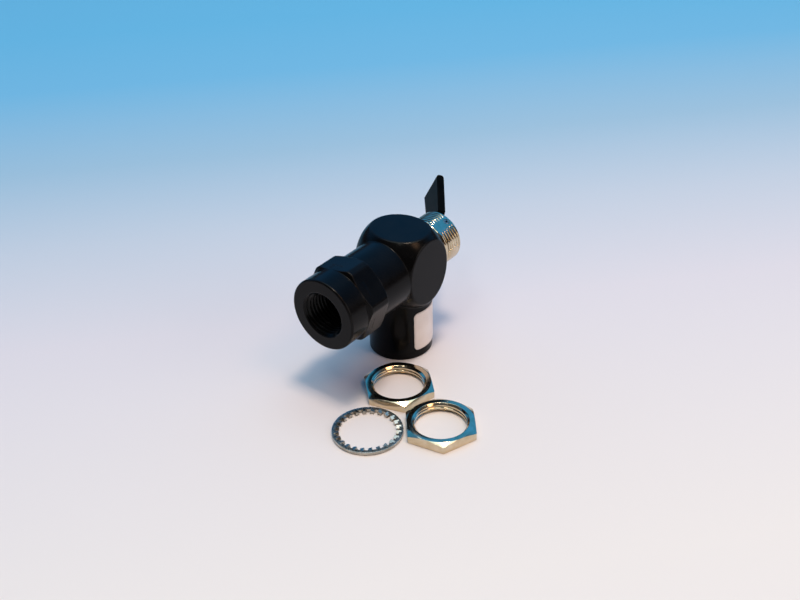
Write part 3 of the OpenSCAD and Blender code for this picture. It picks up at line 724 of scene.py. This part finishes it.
def pinPiece():
    s = pinSizes
    gap = s["slit"] / 2 / s["radius"]
    angle = np.linspace(gap, 2 * math.pi - gap, s["around"])
    half, inner = s["length"] / 2, s["radius"] - s["wall"]
    levels = [(-half, s["radius"] - s["endBevel"]), (-half + s["endBevel"], s["radius"]),
              (half - s["endBevel"], s["radius"]), (half, s["radius"] - s["endBevel"])]
    loops = []
    for h, outer in levels:
        ring = [(outer * math.cos(a), outer * math.sin(a), h) for a in angle]
        loops.append(ring + [(inner * math.cos(a), inner * math.sin(a), h) for a in angle[::-1]])
    n = len(loops[0])
    faces = [(i * n + j, i * n + (j + 1) % n, (i + 1) * n + (j + 1) % n, (i + 1) * n + j)
             for i in range(len(loops) - 1) for j in range(n)]
    last = (len(loops) - 1) * n
    for base in (0, last):
        faces += [(base + j, base + j + 1, base + n - 2 - j, base + n - 1 - j) for j in range(n // 2 - 1)]
    mesh = bpy.data.meshes.new("pivotPin")
    mesh.from_pydata([p for loop in loops for p in loop], [], faces)
    faceOutwards(mesh)
    mesh.shade_smooth()
    mesh.set_sharp_from_angle(angle=math.radians(30))
    mesh.transform(toMetres @ atLever)
    return addPiece("pivotPin", mesh, drawnSteel, "housing", "pivot_pin")


pinPiece()


# Return spring, swept along a helix
springSizes = {"radius": 2.4, "wire": 0.3, "turns": 5, "resolution": 48, "sides": 14}


def coilTree():
    tree, given = newTree("coilSpring", [("Geometry", "Geometry"), ("Radius", "Float"), ("Wire", "Float"),
                                         ("Turns", "Float"), ("Length", "Float"), ("Resolution", "Int"),
                                         ("Sides", "Int"), ("Finish", "Material")])
    helix = addNode(tree, "GeometryNodeCurveSpiral", {"Resolution": given["Resolution"], "Rotations": given["Turns"],
                                                      "Start Radius": given["Radius"], "End Radius": given["Radius"],
                                                      "Height": given["Length"]})
    wire = addNode(tree, "GeometryNodeCurvePrimitiveCircle", {"Resolution": given["Sides"], "Radius": given["Wire"]})
    coil = addNode(tree, "GeometryNodeCurveToMesh", {"Curve": helix.outputs[0], "Profile Curve": wire.outputs[0],
                                                     "Fill Caps": True})
    closeTree(tree, coil.outputs[0], given["Finish"])
    return tree


def springPiece():
    s = springSizes
    low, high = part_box("return_spring")
    start, end = low[0] / mm + s["wire"], high[0] / mm - s["wire"]
    values = {"Radius": s["radius"], "Wire": s["wire"], "Turns": s["turns"], "Length": end - start,
              "Resolution": s["resolution"], "Sides": s["sides"], "Finish": drawnSteel}
    place = alongValve @ Matrix.Translation((0, 0, start))
    grown = growMesh("returnSpring", bpy.data.meshes.new("coil"), coilTree(), values, place)
    spring = addPiece("returnSpring", grown, drawnSteel, "housing", "return_spring")
    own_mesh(spring)


springPiece()


# Blank label, wrapped round the outlet boss
labelSizes = {"radius": 7.22, "thick": 0.12, "base": 2.1, "height": 9.8, "length": 19, "from": -117, "corner": 1.1,
              "columns": 56, "rows": 16, "cornerRows": 8, "edgeBand": 0.5}


def labelPiece():
    s = labelSizes
    quarter = np.linspace(0, math.pi / 2, s["cornerRows"])
    inset = s["corner"] * (1 - np.sin(quarter))           # how far each corner row stops short of the ends
    rise = s["corner"] * (1 - np.cos(quarter))
    middle = np.linspace(s["corner"], s["height"] - s["corner"], s["rows"])[1:-1]
    rows = np.concatenate([rise, middle, s["height"] - rise[::-1]])
    short = np.concatenate([inset, np.zeros(len(middle)), inset[::-1]])
    share = np.linspace(-1, 1, s["columns"])
    reach = share[None] * (s["length"] / 2 - short[:, None])
    angle = math.radians(s["from"]) + (reach + s["length"] / 2) / s["radius"]
    height = np.repeat((s["base"] + rows)[:, None], s["columns"], 1)
    m, n = reach.shape
    layers = [np.stack([r * np.cos(angle), r * np.sin(angle), height], -1).reshape(-1, 3)
              for r in (s["radius"], s["radius"] + s["thick"])]
    i, j = (a.ravel() for a in np.meshgrid(np.arange(m - 1), np.arange(n - 1), indexing="ij"))
    sheet = np.stack([i * n + j, i * n + j + 1, (i + 1) * n + j + 1, (i + 1) * n + j], 1)
    border = [(0, k) for k in range(n)] + [(k, n - 1) for k in range(1, m)]
    border += [(m - 1, k) for k in range(n - 2, -1, -1)] + [(k, 0) for k in range(m - 2, 0, -1)]
    loop = [a * n + b for a, b in border]
    rim = [(a, b, b + m * n, a + m * n) for a, b in zip(loop, loop[1:] + loop[:1])]
    mesh = bpy.data.meshes.new("blankLabel")
    sheets = [tuple(q) for q in sheet] + [tuple(q + m * n) for q in sheet]
    mesh.from_pydata(np.concatenate(layers), [], sheets + rim)
    near = np.minimum(np.minimum(s["length"] / 2 - short[:, None] - np.abs(reach), height - s["base"]),
                      s["base"] + s["height"] - height)
    fray = np.clip(1 - near / s["edgeBand"], 0, 1).ravel().astype(np.float32)
    mesh.attributes.new("edge", "FLOAT", "POINT").data.foreach_set("value", np.concatenate([fray, fray]))
    faceOutwards(mesh)
    mesh.shade_smooth()
    mesh.set_sharp_from_angle(angle=math.radians(40))
    mesh.transform(toMetres)
    return addPiece("blankLabel", mesh, paperFilm, "housing", "label")


labelPiece()

# CAD solids that stay as they are get their finish here
finishes = {"black_anodised": blackAnodised, "nickel_plate": nickelPlate, "bright_steel": drawnSteel,
            "washer_steel": zincSteel, "bare_brass": turnedBrass, "seal_rubber": sealRubber,
            "lever_plastic": leverNylon, "label_paper": paperFilm}
for part in frame["record"]["subparts"]:
    for holder in frame["nodes"][part["node"]].material_slots:
        holder.material = finishes[part["material_slot"]]
print("finishes set on the CAD nodes")

# Camera at the photograph's viewing angle, its place in millimetres
cameraSizes = {"place": (-176.5, -142.0, 159.3), "yaw": -51.18, "pitch": 33.12, "roll": -1.47, "lens": 54,
               "sensor": 36, "clipStart": 0.01}
yaw, pitch, roll = (math.radians(cameraSizes[k]) for k in ("yaw", "pitch", "roll"))
right = Vector((math.cos(yaw), math.sin(yaw), 0))
back = Vector((math.sin(yaw) * math.cos(pitch), -math.cos(yaw) * math.cos(pitch), math.sin(pitch)))
up = back.cross(right)
tiltRight = math.cos(roll) * right + math.sin(roll) * up
tiltUp = -math.sin(roll) * right + math.cos(roll) * up
lens = bpy.data.cameras.new("camera")
lens.lens, lens.sensor_width, lens.clip_start = (cameraSizes[k] for k in ("lens", "sensor", "clipStart"))
camera = bpy.data.objects.new("camera", lens)
scene.collection.objects.link(camera)
turn = Matrix((tiltRight, tiltUp, back)).transposed().to_4x4()
camera.matrix_world = Matrix.Translation(Vector(cameraSizes["place"]) * mm) @ turn
scene.camera = camera

# Floor and room, in metres: the floor turns from pale to blue between near and far
stageSizes = {"floorRadius": 3.0, "segments": 96, "drop": 0.00002, "near": 0.15, "far": 0.46, "fadeTurn": 9,
              "mirrorNear": 0.25, "mirrorFar": 0.6}
away = Vector((-back[0], -back[1], 0)).normalized()
backward = Matrix.Rotation(math.radians(stageSizes["fadeTurn"]), 3, "Z") @ away
foot = Vector((cameraSizes["place"][0], cameraSizes["place"][1], 0)) * mm


def floorPiece():
    s = stageSizes
    mesh = bpy.data.meshes.new("floor")
    work = bmesh.new()
    bmesh.ops.create_circle(work, cap_ends=True, segments=s["segments"], radius=s["floorRadius"])
    bmesh.ops.translate(work, verts=work.verts, vec=(0, 0, -s["drop"]))
    work.to_mesh(mesh)
    work.free()
    # sweep of painted board: pinkish white in front, sky blue further back
    material, tree, place = newSurface("boardPainted")
    step = addNode(tree, "ShaderNodeVectorMath", {0: place, 1: foot}, operation="SUBTRACT")
    depth = addNode(tree, "ShaderNodeVectorMath", {0: step.outputs[0], 1: backward}, operation="DOT_PRODUCT")
    share = addNode(tree, "ShaderNodeMapRange", {"Value": depth.outputs["Value"], "From Min": s["near"],
                                                  "From Max": s["far"]})
    tone = addNode(tree, "ShaderNodeValToRGB", {"Fac": share.outputs[0]},
                   [(0.0, "#eee9e5"), (0.28, "#dfdce3"), (0.43, "#c6d2e0"),
                    (0.58, "#a0c4dc"), (0.78, "#76bde4"), (0.95, "#6bbce5")])
    spread = addNode(tree, "ShaderNodeVectorMath", {0: place}, operation="LENGTH")
    # mirrored far off, the floor gives way to the dark room
    beyond = addNode(tree, "ShaderNodeMapRange", {"Value": spread.outputs["Value"], "From Min": s["mirrorNear"],
                                                   "From Max": s["mirrorFar"]})
    glossy = addNode(tree, "ShaderNodeLightPath").outputs["Is Glossy Ray"]
    mirrored = addNode(tree, "ShaderNodeMath", {0: beyond.outputs[0], 1: glossy}, operation="MULTIPLY")
    seen = addNode(tree, "ShaderNodeMix", {"Factor": mirrored.outputs[0], 6: tone.outputs[0],
                                           7: hexColour("#4a382c")}, data_type="RGBA")
    finishSurface(tree, {"Base Color": seen.outputs[2], "Roughness": 0.8, "Specular IOR Level": 0.1})
    mesh.materials.append(material)
    floor = bpy.data.objects.new("floor", mesh)
    scene.collection.objects.link(floor)


floorPiece()


def roomLight():
    world = bpy.data.worlds.new("room")
    scene.world = world
    world.use_nodes = True
    tree = world.node_tree
    tree.nodes.clear()
    look = addNode(tree, "ShaderNodeTexCoord").outputs["Generated"]
    height = addNode(tree, "ShaderNodeSeparateXYZ", {"Vector": look}).outputs["Z"]
    ahead = addNode(tree, "ShaderNodeVectorMath", {0: look, 1: away}, operation="DOT_PRODUCT")
    # dark warm room all round, and a lit blue board beyond the object
    room = addNode(tree, "ShaderNodeValToRGB", {"Fac": height},
                   [(0.0, "#4a382c"), (0.3, "#2c2825"), (0.95, "#5a5c60")])
    facing = addNode(tree, "ShaderNodeMapRange", {"Value": ahead.outputs["Value"], "From Min": -0.05,
                                                  "From Max": 0.4})
    raised = addNode(tree, "ShaderNodeMapRange", {"Value": height, "From Min": 0.1, "From Max": 0.3})
    board = addNode(tree, "ShaderNodeMath", {0: facing.outputs[0], 1: raised.outputs[0]}, operation="MULTIPLY")
    wall = addNode(tree, "ShaderNodeMix", {"Factor": board.outputs[0], 6: room.outputs[0], 7: hexColour("#3f9fe6")},
                   data_type="RGBA")
    direct = addNode(tree, "ShaderNodeLightPath").outputs["Is Camera Ray"]
    seen = addNode(tree, "ShaderNodeMix", {"Factor": direct, 6: wall.outputs[2], 7: hexColour("#cfe0ea")},
                   data_type="RGBA")
    glow = addNode(tree, "ShaderNodeBackground", {"Color": seen.outputs[2], "Strength": 1})
    addNode(tree, "ShaderNodeOutputWorld", {"Surface": glow.outputs[0]})


roomLight()


def areaLamp(name, place, target, size, power, colour):
    data = bpy.data.lights.new(name, "AREA")
    data.shape, data.size, data.energy, data.color = "DISK", size, power, hexColour(colour)[:3]
    lamp = bpy.data.objects.new(name, data)
    scene.collection.objects.link(lamp)
    lamp.location = place
    lamp.rotation_euler = (Vector(target) - Vector(place)).to_track_quat("-Z", "Y").to_euler()


# place, target and size in metres, watts, colour
lamps = {"mainLamp": ((0.0, -0.11, 1.0), (0, 0, 0), 0.2, 4.5, "#ffe3cb"),        # nearly overhead: the clear shadow
         "roomGlow": ((0.1, 0.1, 1.5), (0, 0, 0), 1.6, 9.6, "#e6fbf7"),          # wide and cool: fills the shadow
         "warmLamp": ((0.0, -0.54, 0.84), (0, 0, 0), 0.3, 1.4, "#ffc79a"),       # warm glints in the plated metal
         "ceilingLamp": ((-0.44, -0.07, 0.9), (0, 0, 0), 0.12, 0.4, "#fffaf4"),  # small white glint
         "sideFill": ((0.25, -1.0, 0.4), (0, 0, 0.01), 0.8, 2.6, "#fff2ea")}     # lights the label
for lampName, lampValues in lamps.items():
    areaLamp(lampName, *lampValues)
print("stage, light and camera ready")
